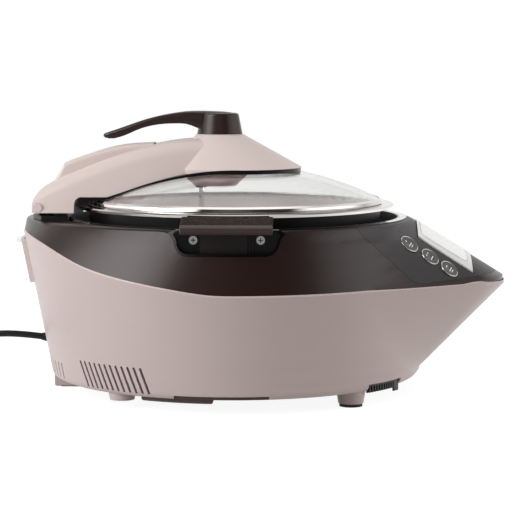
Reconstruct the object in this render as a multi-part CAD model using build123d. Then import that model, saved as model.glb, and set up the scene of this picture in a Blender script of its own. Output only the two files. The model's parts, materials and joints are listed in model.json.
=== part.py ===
from build123d import *
import math
import os

os.makedirs("parts", exist_ok=True)

# Multicooker with a hinged glass lid under a moulded arm, millimetres, +Z up, front (controls) towards +X.
# Working coordinates have the pot axis at x = 0; every piece is written shifted so that the
# middle of the whole machine, cord apart, stands over the origin with its feet at z = 0.

# Body outline in plan: a circle drawn out to a rounded nose in front and a blunt tail behind
SKIRT_Z = 15.0
BASE_R = 182.0
WALL_LEAN = 0.1935
NOSE_R = 70.0
BASE_NOSE = 184.0
KNEE_Z = 22.0
NOSE_ANGLE = 45.4
NOSE_END = 268.5
DECK_Z = 171.0
DECK_R = 172.0
DECK_NOSE = 174.0
FLARE_Z = 100.0
FLARE_R = 206.6
FLARE_NOSE = 289.5
# Rear half of the upper body: degrees from the tail, radius at DECK_Z, radius at FLARE_Z
REAR_TABLE = ((15.0, 201.3, 249.0), (30.0, 191.4, 257.0), (45.0, 181.1, 234.0), (60.0, 174.6, 220.4),
              (75.0, 172.3, 211.8))
DECK_TAIL = 208.0
FLARE_TAIL = 214.0
HOUSING_WALL = 3.2
LIP = 1.3
SEAM_GAP = 0.15
COLLAR_WALL = 5.5
DECK_WALL = 2.5
EDGE_ROUND = 2.2
FORM_STEPS = 5

# Control panel, window and buttons
PANEL_DEPTH = 3.0
PANEL_GAP = 0.15
PANEL_REAR_X = 121.5
PANEL_SHOULDER_Z = 166.0
PANEL_FOOT_X = 177.0
PANEL_FOOT_Z = 114.6
PANEL_CORNER_SMALL = 8.0
PANEL_CORNER = 24.0
WINDOW_X = (180.0, 233.5)
WINDOW_HALF = 51.0
WINDOW_PROUD = 1.2
PANEL_SLOPE = 31.5
BUTTON_SPOTS = ((170.9, 74.0, 150.0), (191.2, 68.6, 137.2), (210.0, 66.6, 125.3))
BUTTON_NORMAL = (0.54, 0.47, 0.698)
BUTTON_R = 10.0
BUTTON_GAP = 0.3
BUTTON_PROUD = 0.9
BUTTON_DEEP = 6.8
BUTTON_FLANGE_R = 11.0
BUTTON_FLANGE = 1.2
BUTTON_TRAVEL = 1.0

# Well, pan and heater
LINER_WALL = 1.2
LINER_FLOOR_Z = 46.0
PAN_R = 145.3
PAN_WALL = 1.8
FLANGE_R = PAN_R + 13.3
FLANGE_Z = 183.4
WELL_R = FLANGE_R + 3.4
BEZEL_IN_R = WELL_R + 1.6
BEZEL_OUT_R = BEZEL_IN_R + 7.4
BEZEL_H = 0.6
WELL_GAP = 0.2
PAN_FLOOR_Z = 62.0
PAN_CORNER = 18.0
HEATER_R = 84.0
HEATER_H = 9.0
SENSOR_R = 14.0

# Pan handles in their recesses
GRIP_HALF = 42.5
GRIP_REACH = 191.0
RECESS_HALF = 46.0
RECESS_FLARE = 14.0
RECESS_FLOOR_Z = 150.0
RECESS_BACK_R = WELL_R + 4.4
CUP_WALL = 2.0
BRACKET_Z = 176.4
GRIP_SECTION = ((161.0, 183.0), (186.5, 177.2), (190.4, 174.6), (GRIP_REACH, 171.0), (189.0, 168.6),
                (184.6, 168.6), (181.6, 171.6), (174.5, 174.0), (161.0, 175.6))

# Lid
LID_GLASS_R = PAN_R - 2.3
LID_RIM_Z = 189.5
CROWN_Z = 222.8
GLASS_T = 4.0
RING_OUT_R = LID_GLASS_R + 4.5
RING_Z = 185.15
HINGE_X = -188.6
HINGE_Z = 183.8
PIN_R = 3.0
PIN_GAP = 0.05
PIN_END = 62.0
EAR_Y = 30.0
EAR_T = 10.0
CAP_HEAD_R = 4.4
BRACKET_X = (-197.0, -150.0)
BRACKET_HALF = 62.0
BRACKET_H = 4.5
CHEEK_H = 17.0
ARM_HALF = 71.0
ARM_WALL = 2.6
HAT_R = 67.3
HAT_Z = 220.0
SEAT_Z = 253.1
SEAT_R = 22.6
HANDLE_X = -15.0
HANDLE_LIFT = 0.35
HUB_TOP_R = 18.6
HUB_H = 20.5
SHAFT_R = 5.0
TRIM_H = 4.2
BOSS_X = -19.5
PROBE_X = -33.5
PROBE_R = 2.5
PROBE_TIP_Z = 108.0
BOSS_LOW = 201.0
BOSS_STEP = 213.8
BOSS_TOP = 216.3
# Frame inside the arm, seen from the side: lower and upper line
FRAME_LOW = ((-192.6, 179.6), (-184.6, 179.6), (-156.0, 191.0), (-128.0, 204.5), (-60.0, 222.0), (-38.0, 227.0),
             (0.0, 227.0))
FRAME_HIGH = ((0.0, 236.0), (-40.0, 239.0), (-60.0, 236.0), (-120.0, 220.0), (-150.0, 209.0), (-180.0, 196.0),
              (-188.6, 189.0), (-192.6, 187.0))
FRAME_HALF = 17.0
FRAME_HOLLOW = ((-172.0, 188.5), (-128.0, 208.5), (-60.0, 226.5), (-38.0, 231.0), (-6.0, 231.0), (-6.0, 250.0),
                (-60.0, 250.0), (-120.0, 235.0), (-172.0, 215.0))

# Where the lower edge of the lid arm runs, seen from the side
ARM_EDGE = ((67.3, 220.2), (10.0, 220.2), (-30.0, 218.2), (-54.0, 214.1), (-76.5, 208.6), (-99.0, 201.4),
            (-121.5, 194.0))
ARM_NOTCH_X = -153.2
ARM_SOLE_Z = 178.8
NOTCH_R = 7.0
# Arm from tail to hub: x, top height, half width of the top, half width at ARM_BASE_Z
ARM_TABLE = ((-202.0, 197.0, 60.0, 71.0), (-178.0, 208.0, 58.5, 71.0), (-153.0, 218.4, 56.0, 71.0),
             (-114.0, 233.4, 50.0, 71.0), (-75.0, 244.0, 42.0, 71.0), (-45.0, 248.4, 33.0, 70.0),
             (-14.0, 249.5, 24.0, 67.0))
ARM_BASE_Z = 176.0
ARM_STEPS = 15
ARM_ROUND = 13.0
ARM_BACK = ((-194.0, 182.5), (-194.2, 187.5), (-191.8, 194.4), (-185.5, 202.0), (-177.4, 207.7),
            (-166.0, 213.2))
HUMP_TABLE = ((-176.5, 209.0, 31.0), (-169.0, 224.0, 30.0), (-152.0, 230.9, 28.5), (-132.0, 237.6, 26.5),
              (-110.0, 242.3, 24.0), (-80.0, 244.5, 19.0))
HUMP_WALL = 2.2
HUMP_STEPS = 10
# Lever from its drooping tip to the hub: x, underside height, top height, half width
LEVER_TABLE = ((-130.8, 250.6, 252.8, 4.0), (-129.0, 249.2, 254.0, 6.5), (-121.6, 248.3, 256.4, 8.5),
               (-109.5, 251.6, 260.6, 9.3), (-94.0, 258.2, 266.0, 9.8), (-79.0, 262.0, 270.3, 10.4),
               (-63.5, 263.4, 273.5, 11.0), (-48.0, 263.0, 275.6, 11.8), (-38.0, 259.4, 276.0, 12.6),
               (-30.0, 256.5, 276.0, 13.2), (-8.0, 256.5, 275.0, 13.0), (0.5, 257.0, 273.6, 11.0))
LEVER_STEPS = 24

# Feet and underside
FOOT_RING_R = 164.0
FOOT_R = 14.0
FOOT_TIP_R = 11.0
PAD_H = 3.0
REAR_PAD_H = 1.2
PLATE_H = 3.0
VENT_FIRST = 42.0
VENT_STEP = 2.14
VENT_TILT = 17.0
VENT_Z = (18.5, 43.0)
VENT_COUNT = 12
VENT_W = 2.6
REAR_VENT_STEP = 3.1
REAR_VENTS = 8
NOTCH_X = (-49.0, 39.0)
NOTCH_H = 3.5
PLATE_R = BASE_R - HOUSING_WALL - 0.5
GRILLE_FROM = 27.0
GRILLE_TO = 44.0
GRILLE_BLOCK = 3.0
GRILLE_TEETH = 11

# Fan and boards inside
FAN_X = 132.0
FAN_Z = 22.0
SWITCH_FOOT = 15.4

# Mains lead
CORD_R = 3.3
CORD_Z = 47.6
CORD_RISE = 7.8
COIL_R = 45.0
COIL_X = -392.0
COIL_Y = -29.5
COIL_MID_R = 36.5
FLOOR_GAP = 0.1
LIE_Z = CORD_R + FLOOR_GAP
CORD_POINTS = ((-186.0, 0.0, CORD_Z), (-232.0, 0.0, 53.9), (-262.0, 2.5, 45.5), (-288.0, 6.5, 26.5),
               (-316.0, 10.0, 9.5), (-350.0, 12.0, LIE_Z), (COIL_X + 8, 12.0, LIE_Z))

# Condensate collector
CUP_HALF = 34.0
CUP_OUT = 219.5
CUP_IN = -187.0
CUP_LOW = 107.5
CUP_HIGH = 150.6
CUP_GAP = 0.3

SHIFT_X = -(NOSE_END - CUP_OUT) / 2


def save(name, *solids):
    """Write one sub-part, shifted into the part's own frame."""
    shape = solids[0] if len(solids) == 1 else Compound(children=list(solids))
    export_step(Pos(SHIFT_X, 0, 0) * shape, f"parts/{name}.step")


def mirror_y(shape):
    """The same piece on the far side."""
    return mirror(shape, about=Plane.XZ)


def egg(z, main_r, nose_tip, rear=None, inset=0.0):
    """Plan outline: a main circle hulled to a nose circle, with a smooth rear through given points if asked."""
    big = main_r - inset
    nose_r = NOSE_R - inset
    nose_c = nose_tip - NOSE_R
    turn = math.acos((big - nose_r) / nose_c)

    def on(cx, r, angle):
        return (cx + r * math.cos(angle), r * math.sin(angle), z)

    def flip(p):
        return (p[0], -p[1], p[2])

    nose_end = on(nose_c, nose_r, turn)
    side_start = on(0, big, turn)
    edges = [Edge.make_three_point_arc(flip(nose_end), on(nose_c, nose_r, 0), nose_end)]
    edges.append(Edge.make_line(nose_end, side_start))
    if rear is None:
        edges.append(Edge.make_three_point_arc(side_start, on(0, big, math.pi), flip(side_start)))
    else:
        waist = on(0, big, math.pi / 2)
        quarter = on(0, big, (turn + math.pi / 2) / 2)
        flank = [on(0, r - inset, math.pi - math.radians(angle)) for angle, r in reversed(rear[1:])]
        tail = on(0, rear[0][1] - inset, math.pi)
        points = [waist, *flank, tail, *[flip(p) for p in reversed(flank)], flip(waist)]
        edges.append(Edge.make_three_point_arc(side_start, quarter, waist))
        edges.append(Edge.make_spline(points, tangents=[(-1, 0, 0), (1, 0, 0)], scale=False))
        edges.append(Edge.make_three_point_arc(flip(waist), flip(quarter), flip(side_start)))
    edges.append(Edge.make_line(flip(side_start), flip(nose_end)))
    return Face(Wire(edges))


def lower_form(inset=0.0, low=SKIRT_Z, rounded=True):
    """The lower body: a leaning cone that runs out to the nose above the knee."""
    def level(z, more=0.0):
        lean_r = BASE_R + WALL_LEAN * (z - SKIRT_Z)
        rise = max(0.0, z - KNEE_Z) / math.tan(math.radians(NOSE_ANGLE))
        tip = BASE_NOSE + (min(z, KNEE_Z) - SKIRT_Z) * WALL_LEAN + rise
        return egg(z, lean_r, tip, inset=inset + more)
    levels = [level(low, 3.5 if rounded else 0.0)]
    if rounded:
        levels += [level(low + 1.2, 1.4), level(low + 4.0, 0.0)]
    levels += [level(KNEE_Z + (DECK_Z + 4 - KNEE_Z) * (i / FORM_STEPS) ** 1.8) for i in range(FORM_STEPS + 1)]
    return loft(levels, ruled=True)


def mix(start, end, share):
    """Value part of the way from start to end."""
    return start + (end - start) * share


def upper_form(inset=0.0, top=DECK_Z, rounded=True):
    """The upper body: flares down from the deck to an oval wider than the belt."""
    def level(z, more=0.0):
        t = min(1.0, (DECK_Z - z) / (DECK_Z - FLARE_Z))
        rear = [(0.0, mix(DECK_TAIL, FLARE_TAIL, t))]
        rear += [(angle, mix(high, low, t)) for angle, high, low in REAR_TABLE]
        return egg(z, mix(DECK_R, FLARE_R, t), mix(DECK_NOSE, FLARE_NOSE, t), rear, inset=inset + more)
    levels = [level(SKIRT_Z - 4)]
    levels += [level(FLARE_Z + (top - EDGE_ROUND - FLARE_Z) * i / FORM_STEPS) for i in range(FORM_STEPS + 1)]
    if rounded:
        levels += [level(top - 0.6, 0.7), level(top, EDGE_ROUND - 0.4)]
    else:
        levels += [level(top)]
    return loft(levels, ruled=True)


def disc(r, low, high, x=0.0, y=0.0):
    return Pos(x, y, (low + high) / 2) * Cylinder(r, high - low)


def ring(outer, inner, low, high):
    return disc(outer, low, high) - disc(inner, low - 1, high + 1)


def brick(x0, x1, y0, y1, z0, z1):
    return Pos((x0 + x1) / 2, (y0 + y1) / 2, (z0 + z1) / 2) * Box(x1 - x0, y1 - y0, z1 - z0)


def side_plate(points, half, middle=0.0):
    """Extrude an outline drawn in the XZ plane to both sides of y = middle."""
    face = Face(Wire.make_polygon([(x, 0, z) for x, z in points]))
    return Pos(0, middle, 0) * extrude(face, half, dir=(0, 1, 0), both=True)


def collar_space():
    """What the collar takes out of the housing wall, a seam gap larger than the collar."""
    upper = upper_form(0.0, rounded=False) - upper_form(COLLAR_WALL + SEAM_GAP, rounded=False)
    inner = lower_form(LIP - SEAM_GAP, SKIRT_Z - 2, rounded=False)
    return upper & inner & nose_wall(LIP - SEAM_GAP)


def nose_wall(inset=0.0):
    """Upright wall that blunts the nose tip."""
    return loft([egg(z, FLARE_R + 4 - inset, NOSE_END - inset) for z in (SKIRT_Z - 6, DECK_Z + 8)], ruled=True)


lower_outer = lower_form()
upper_outer = upper_form()
body_outer = lower_outer & upper_outer & nose_wall()
seam_cut = collar_space()


# Lower housing with its vents, drain notch and cord opening
def vent_cutter(angle, low, high, width=VENT_W, tilt=0.0):
    """A slot across the wall at an angle from the tail, tilted about its own middle."""
    blade = Box(32, width, (high - low) / math.cos(math.radians(tilt)))
    return Rot(0, 0, 180 + angle) * Pos(BASE_R + 4, 0, (low + high) / 2) * Rot(tilt, 0, 0) * blade


vent_angles = [VENT_FIRST + i * VENT_STEP for i in range(VENT_COUNT)]
housing = body_outer - lower_form(HOUSING_WALL, SKIRT_Z - 2, rounded=False) - seam_cut
cutters = []
for side in (1, -1):
    cutters += [vent_cutter(side * a, *VENT_Z, tilt=side * VENT_TILT) for a in vent_angles]
first_rear = -(REAR_VENTS - 1) / 2
cutters += [vent_cutter((first_rear + i) * REAR_VENT_STEP + s * 17, SKIRT_Z + 4.5, SKIRT_Z + 20, 2.0)
            for i in range(REAR_VENTS) for s in (-1, 1)]
cord_axis = Pos(-BASE_R - 4, 0, CORD_Z) * Rot(0, CORD_RISE - 90, 0)
cutters.append(cord_axis * Cylinder(CORD_R + 1.8, 40))
for low, high in ((-200, -120), (120, 200)):
    cutters.append(brick(*NOTCH_X, low, high, SKIRT_Z - 2, SKIRT_Z + NOTCH_H))
housing = housing - cutters

# Dark collar with the deck, laid inside the lip of the housing
collar = upper_outer - upper_form(COLLAR_WALL, DECK_Z - DECK_WALL, rounded=False)
collar = collar & lower_form(LIP, SKIRT_Z - 2, rounded=False) & nose_wall(LIP)
well_drill = disc(WELL_R + LINER_WALL + WELL_GAP, SKIRT_Z, DECK_Z + 5)
collar = collar - well_drill


# Panel, window and button positions
def panel_prism(grow=0.0):
    """Rounded outline of the control panel seen from the side, right across the nose."""
    outline = Polyline((PANEL_REAR_X - grow, DECK_Z + 9), (PANEL_REAR_X - grow, PANEL_SHOULDER_Z - grow),
                       (PANEL_FOOT_X - grow, PANEL_FOOT_Z - grow), (NOSE_END + 8, PANEL_FOOT_Z + 4.5 - grow),
                       (NOSE_END + 8, DECK_Z + 9), close=True)
    face = make_face(outline)
    corners = face.vertices().sort_by(Axis.X)
    face = fillet(corners[0] if corners[0].Y < corners[1].Y else corners[1], PANEL_CORNER_SMALL)
    foot = face.vertices().sort_by_distance((PANEL_FOOT_X, PANEL_FOOT_Z))[0]
    face = fillet(foot, PANEL_CORNER)
    return extrude(Plane.XZ * face, FLARE_R, both=True)


panel_layer = (upper_outer - upper_form(PANEL_DEPTH, rounded=False)) & nose_wall(LIP)
panel_layer = panel_layer & lower_form(LIP, SKIRT_Z - 2, rounded=False)
panel = panel_layer & panel_prism()
panel = panel - well_drill
panel_room = (upper_outer - upper_form(PANEL_DEPTH + PANEL_GAP, rounded=False)) & panel_prism(PANEL_GAP)
collar = collar - panel_room


def tilt_frame(spot, side):
    """Local plane at a button, its z axis out of the panel."""
    x, y, z = spot
    nx, ny, nz = BUTTON_NORMAL
    return Plane(origin=(x, side * y, z), x_dir=(nz, 0, -nx), z_dir=(nx, side * ny, nz))


def button(spot, side):
    """Round cap with a dished face, a retaining flange and a stem."""
    at = tilt_frame(spot, side)
    cap = Pos(0, 0, (BUTTON_PROUD - BUTTON_DEEP) / 2) * Cylinder(BUTTON_R, BUTTON_PROUD + BUTTON_DEEP)
    cap = fillet(cap.edges().sort_by(Axis.Z)[-1], 0.7)
    cap = cap - Pos(0, 0, BUTTON_PROUD + 38.6) * Sphere(39.0)
    flange = Pos(0, 0, -BUTTON_DEEP + BUTTON_FLANGE / 2) * Cylinder(BUTTON_FLANGE_R, BUTTON_FLANGE)
    return at * (cap + flange)


def button_hole(spot, side):
    at = tilt_frame(spot, side)
    return at * (Pos(0, 0, -2) * Cylinder(BUTTON_R + BUTTON_GAP, 24)
                 + Pos(0, 0, -BUTTON_DEEP - 6) * Cylinder(BUTTON_FLANGE_R + BUTTON_GAP, 2 * 6 + 3.2))


holes = [button_hole(spot, side) for spot in BUTTON_SPOTS for side in (-1, 1)]
window_box = brick(WINDOW_X[0], WINDOW_X[1], -WINDOW_HALF, WINDOW_HALF, FLARE_Z, DECK_Z)
window_hole = brick(WINDOW_X[0] - PANEL_GAP, WINDOW_X[1] + WINDOW_PROUD, -WINDOW_HALF - PANEL_GAP,
                    WINDOW_HALF + PANEL_GAP, FLARE_Z, DECK_Z)
slope_n = (math.sin(math.radians(PANEL_SLOPE)), math.cos(math.radians(PANEL_SLOPE)))
window = Pos(WINDOW_PROUD * slope_n[0], 0, WINDOW_PROUD * slope_n[1]) * (panel_layer & window_box)
panel = panel - window_hole - holes
collar = collar - holes
collar = collar - brick(WINDOW_X[0] + 5, WINDOW_X[1] - 6, -WINDOW_HALF + 5, WINDOW_HALF - 5, FLARE_Z, DECK_Z)
save("control_panel", panel)
save("display_window", window)
for side, tag in ((-1, "near"), (1, "far")):
    for i, spot in enumerate(BUTTON_SPOTS):
        save(f"button_{tag}_{i + 1}", button(spot, side))


# Handle recesses in the collar, near and far, and their black liners
def recess_form(grow=0.0):
    """The space taken out of the collar side, rounded below and flared into the deck edge."""
    half = RECESS_HALF + grow
    low = RECESS_FLOOR_Z - grow
    block = brick(-half, half, RECESS_BACK_R - grow, FLARE_R, low, DECK_Z + 6)
    edges = [e for e in block.edges().filter_by(Axis.Y) if e.center().Z < low + 1]
    block = fillet(edges, 10 + grow)
    wide = RECESS_HALF + RECESS_FLARE
    flare = brick(-wide, wide, RECESS_BACK_R - grow, FLARE_R, DECK_Z - RECESS_FLARE, DECK_Z + 6)
    shoulder = Rot(90, 0, 0) * Cylinder(RECESS_FLARE - grow, 3 * FLARE_R)
    flare = flare - [Pos(side * wide, 0, DECK_Z - RECESS_FLARE) * shoulder for side in (-1, 1)]
    return block + flare


recess = recess_form(CUP_WALL)
liner_out = recess_form(CUP_WALL) & (upper_form(0.8, DECK_Z - 0.2, rounded=False))
handle_cup = liner_out - recess_form(0.0)
back_trim = disc(RECESS_BACK_R + 0.2, SKIRT_Z, DECK_Z + 9)
handle_cup = handle_cup + (liner_out & (disc(RECESS_BACK_R + CUP_WALL, SKIRT_Z, DECK_Z - 0.2) - back_trim))
handle_cup = handle_cup - back_trim
raised = disc(RECESS_BACK_R + CUP_WALL + 1.0, RECESS_FLOOR_Z - 0.5, DECK_Z - 1.5) - back_trim
for start, stop in ((-25.0, 18.5), (20.0, 21.0), (22.6, 23.6)):
    handle_cup = handle_cup + (raised & brick(start, stop, 100, RECESS_BACK_R + 9, 140, DECK_Z))
cup_solids = [s for s in handle_cup.solids() if s.volume > 500]
handle_cup = cup_solids[0] if len(cup_solids) == 1 else Compound(children=cup_solids)
recess_cut = recess_form(CUP_WALL + SEAM_GAP)
room_half = CUP_HALF + CUP_GAP
cup_room = brick(-CUP_OUT, CUP_IN + 4, -room_half, room_half, CUP_LOW - CUP_GAP, CUP_HIGH + CUP_GAP)
collar = collar - recess_cut - mirror_y(recess_cut)
collar = collar - cup_room
save("handle_recess_far", handle_cup)
save("handle_recess_near", mirror_y(handle_cup))
save("upper_collar", collar)


# Bezel, well liner, heater and pan
bezel = ring(BEZEL_OUT_R, BEZEL_IN_R, DECK_Z, DECK_Z + BEZEL_H)
bezel = bezel - recess_cut - mirror_y(recess_cut)
save("bezel_ring", bezel)

liner_lip = ring(BEZEL_IN_R - 0.2, WELL_R, DECK_Z, DECK_Z + BEZEL_H - 0.1)
liner = ring(WELL_R + LINER_WALL, WELL_R, LINER_FLOOR_Z, DECK_Z) + liner_lip
liner = liner + ring(WELL_R + LINER_WALL, HEATER_R + 4, LINER_FLOOR_Z - LINER_WALL, LINER_FLOOR_Z)
save("well_liner", liner)

heater_low = PAN_FLOOR_Z - PAN_WALL - 0.1 - HEATER_H
heater = ring(HEATER_R, SENSOR_R + 1.0, heater_low, heater_low + HEATER_H)
element_groove = Pos(0, 0, heater_low) * Torus(HEATER_R - 18, 4.2)
heater = heater - element_groove
save("heater_plate", heater)
element = Pos(0, 0, heater_low) * Torus(HEATER_R - 18, 3.9)
element = element - brick(HEATER_R - 30, HEATER_R, -9, 9, heater_low - 6, heater_low + 6)
for y in (-12.5, 12.5):
    element = element + disc(2.2, heater_low - 16, heater_low - 1, HEATER_R - 19.2, y)
save("heating_element", element)

sensor = disc(SENSOR_R, heater_low + HEATER_H - 2, heater_low + HEATER_H)
sensor = sensor + disc(6.0, heater_low - 8, heater_low + 8)
save("pan_sensor", sensor)


def heater_bracket():
    """Four-legged frame that carries the heater and the liner on the base plate."""
    legs = []
    for i in range(4):
        turn = Rot(0, 0, 45 + 90 * i)
        post = brick(HEATER_R - 12, HEATER_R + 3, -8, 8, SKIRT_Z + PLATE_H, heater_low)
        hollow = brick(HEATER_R - 9, HEATER_R, -8.1, 8.1, SKIRT_Z + PLATE_H + 3, heater_low - 3)
        shelf_top = LINER_FLOOR_Z - LINER_WALL
        shelf = brick(HEATER_R + 2, HEATER_R + 16, -8, 8, shelf_top - 2.5, shelf_top)
        legs.append(turn * (post - hollow + shelf))
    return legs


save("heater_bracket", *heater_bracket())


def pan_profile():
    """Half section of the pan with its broad flange and curled rim."""
    inner = PAN_R - PAN_WALL
    low = PAN_FLOOR_Z
    outer_low = low - PAN_WALL
    line = [Edge.make_line((0, 0, low), (inner - PAN_CORNER - 3, 0, low))]
    corner_end = (inner - 3, 0, low + PAN_CORNER)
    line.append(Edge.make_tangent_arc((inner - PAN_CORNER - 3, 0, low), (1, 0, 0), corner_end))
    line.append(Edge.make_line((inner - 3, 0, low + PAN_CORNER), (inner, 0, FLANGE_Z + 0.2)))
    line.append(Edge.make_line((inner, 0, FLANGE_Z + 0.2), (inner + 2, 0, FLANGE_Z + 1.4)))
    line.append(Edge.make_line((inner + 2, 0, FLANGE_Z + 1.4), (FLANGE_R - 1.2, 0, FLANGE_Z + 1.0)))
    line.append(Edge.make_line((FLANGE_R - 1.2, 0, FLANGE_Z + 1.0), (FLANGE_R, 0, FLANGE_Z)))
    line.append(Edge.make_line((FLANGE_R, 0, FLANGE_Z), (FLANGE_R - 0.6, 0, FLANGE_Z - 2.2)))
    line.append(Edge.make_line((FLANGE_R - 0.6, 0, FLANGE_Z - 2.2), (FLANGE_R - 2.0, 0, FLANGE_Z - 0.6)))
    line.append(Edge.make_line((FLANGE_R - 2.0, 0, FLANGE_Z - 0.6), (PAN_R + 1.2, 0, FLANGE_Z - 0.4)))
    line.append(Edge.make_line((PAN_R + 1.2, 0, FLANGE_Z - 0.4), (PAN_R, 0, FLANGE_Z - 1.8)))
    line.append(Edge.make_line((PAN_R, 0, FLANGE_Z - 1.8), (PAN_R - 3, 0, low + PAN_CORNER)))
    line.append(Edge.make_tangent_arc((PAN_R - 3, 0, low + PAN_CORNER), (0, 0, -1),
                                      (PAN_R - 3 - PAN_CORNER - PAN_WALL, 0, outer_low)))
    line.append(Edge.make_line((PAN_R - 3 - PAN_CORNER - PAN_WALL, 0, outer_low), (0, 0, outer_low)))
    line.append(Edge.make_line((0, 0, outer_low), (0, 0, low)))
    return Face(Wire(line))


save("inner_pan", revolve(pan_profile(), Axis.Z))

# Pan handles: a metal bracket under the flange and a moulded grip that hangs into the recess
def grip_outline(half, points):
    face = Face(Wire.make_polygon([(0, y, z) for y, z in points]))
    return extrude(face, half, dir=(1, 0, 0), both=True)


grip = grip_outline(GRIP_HALF, GRIP_SECTION)
ends = [e for e in grip.edges() if abs(abs(e.center().X) - GRIP_HALF) < 0.1 and e.center().Y > 165]
grip = fillet(ends, 1.6)
grip = grip - disc(FLANGE_R + 0.5, FLANGE_Z - 5, FLANGE_Z + 5)
bracket = brick(-30, 30, PAN_R - 6, 168.0, BRACKET_Z, BRACKET_Z + 2.4) - disc(PAN_R - 0.05, 150, 190)
grip = grip - brick(-30.1, 30.1, 150, 168.1, BRACKET_Z - 0.05, BRACKET_Z + 2.45)
save("pan_handle_far", grip)
half_turn = Rot(0, 0, 180)
save("pan_handle_near", half_turn * grip)
save("handle_brackets", bracket, half_turn * bracket)


def recess_screw(x):
    """Pan-head screw in a washer, on the back wall of a recess."""
    washer = Pos(0, 0.5, 0) * Rot(90, 0, 0) * (Cylinder(5.0, 1.0) - Cylinder(3.2, 3))
    head = Pos(0, 1.9, 0) * Rot(90, 0, 0) * Cylinder(3.9, 1.8)
    cross = Pos(0, 2.6, 0) * (Box(4.4, 1.4, 0.9) + Box(0.9, 1.4, 4.4))
    shank = Pos(0, 0.5, 0) * Rot(90, 0, 0) * Cylinder(3.0, 1.0)
    return Pos(x, RECESS_BACK_R + 0.02, 162.0) * (washer + shank + head - cross)


screws = [recess_screw(x) for x in (-31.0, 31.0)]
save("recess_screws", *screws, *[half_turn * screw for screw in screws])

# Lid glass, steel ring and seal
CAP_R = ((LID_GLASS_R ** 2) + (CROWN_Z - LID_RIM_Z) ** 2) / (2 * (CROWN_Z - LID_RIM_Z))
CAP_C = CROWN_Z - CAP_R
dome = Pos(0, 0, CAP_C) * Sphere(CAP_R) - Pos(0, 0, CAP_C) * Sphere(CAP_R - GLASS_T)
dome = dome & disc(LID_GLASS_R, LID_RIM_Z - GLASS_T - 2, CROWN_Z + 5)
dome = dome - disc(9.0, LID_RIM_Z, CROWN_Z + 5, HANDLE_X)
dome = dome.solids().sort_by(SortBy.VOLUME)[-1]
save("lid_glass", dome)


def rim_section():
    """Rolled steel ring that holds the edge of the glass."""
    r = LID_GLASS_R
    points = [(r - 5, RING_Z), (RING_OUT_R - 1.0, RING_Z), (RING_OUT_R, RING_Z + 1.2),
              (RING_OUT_R - 0.8, RING_Z + 3.4), (r + 0.6, LID_RIM_Z + 0.9), (r + 0.15, LID_RIM_Z + 0.4),
              (r + 0.15, LID_RIM_Z - GLASS_T + 0.9),
              (r - 5, RING_Z + 0.7)]
    return Face(Wire.make_polygon([(x, 0, z) for x, z in points]))


lid_ring = revolve(rim_section(), Axis.Z)
lid_ring = lid_ring - (Pos(0, 0, CAP_C) * Sphere(CAP_R + 0.05) & disc(LID_GLASS_R + 0.1, 150, 230)
                       - Pos(0, 0, CAP_C) * Sphere(CAP_R - GLASS_T - 0.05))
lid_ring = lid_ring.solids().sort_by(SortBy.VOLUME)[-1]
save("lid_ring", lid_ring)
save("lid_seal", ring(LID_GLASS_R - 1.5, LID_GLASS_R - 5.0, RING_Z - 2.6, RING_Z - 0.05))


# Lid arm: a shell lofted through cross sections, with a conical hat in front and a hump behind
def between(table, x):
    """Smooth values at x from a table whose first column rises."""
    i = max(k for k in range(len(table) - 1) if table[k][0] <= x or k == 0)
    p, q = table[i], table[i + 1]
    before = table[i - 1] if i > 0 else p
    after = table[i + 2] if i + 2 < len(table) else q
    t = (x - p[0]) / (q[0] - p[0])
    values = []
    for k in range(1, len(p)):
        run = q[0] - p[0]
        slope_p = (q[k] - before[k]) / (q[0] - before[0]) * run
        slope_q = (after[k] - p[k]) / (after[0] - p[0]) * run
        h = (2 * t ** 3 - 3 * t ** 2 + 1) * p[k] + (t ** 3 - 2 * t ** 2 + t) * slope_p
        values.append(h + (3 * t ** 2 - 2 * t ** 3) * q[k] + (t ** 3 - t ** 2) * slope_q)
    return values


def shoulder_section(x, top, a, b, base, rounding):
    """Cross section with rounded shoulders: top half width a, half width b at the base."""
    slope = (b - a) / (top - base)
    side_y = a + slope * rounding
    bulge = 0.29 * rounding
    points = ((-side_y, top - rounding), (-(a - bulge + slope * bulge), top - bulge), (-(a - rounding), top),
              (a - rounding, top), (a - bulge + slope * bulge, top - bulge), (side_y, top - rounding))
    p = [(x, y, z) for y, z in points]
    return Face(Wire([Edge.make_line((x, b, base), (x, -b, base)), Edge.make_line((x, -b, base), p[0]),
                      Edge.make_three_point_arc(p[0], p[1], p[2]), Edge.make_line(p[2], p[3]),
                      Edge.make_three_point_arc(p[3], p[4], p[5]), Edge.make_line(p[5], (x, b, base))]))


def arm_body(inset=0.0):
    """Arm between the tail and the hub, above ARM_BASE_Z."""
    first, last = ARM_TABLE[0][0], ARM_TABLE[-1][0]
    faces = []
    for i in range(ARM_STEPS + 1):
        x = first + (last - first) * i / ARM_STEPS
        top, a, b = between(ARM_TABLE, x)
        faces.append(shoulder_section(x, top - inset, a - inset * 0.6, b - inset, ARM_BASE_Z - inset,
                                      ARM_ROUND - inset * 0.5))
    body = loft(faces, ruled=True)
    back = [(x + inset, z - inset * 0.7) for x, z in ARM_BACK]
    low, high = back[0], back[-1]
    outside = Polyline(high, (high[0] - 3, high[1] + 40), (-240, high[1] + 40), (-240, 150), (low[0], 150), low)
    curve = Spline(*back)
    cut = extrude(Plane.XZ * make_face(Curve() + [curve, outside]), 100, both=True)
    return body - cut


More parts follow.
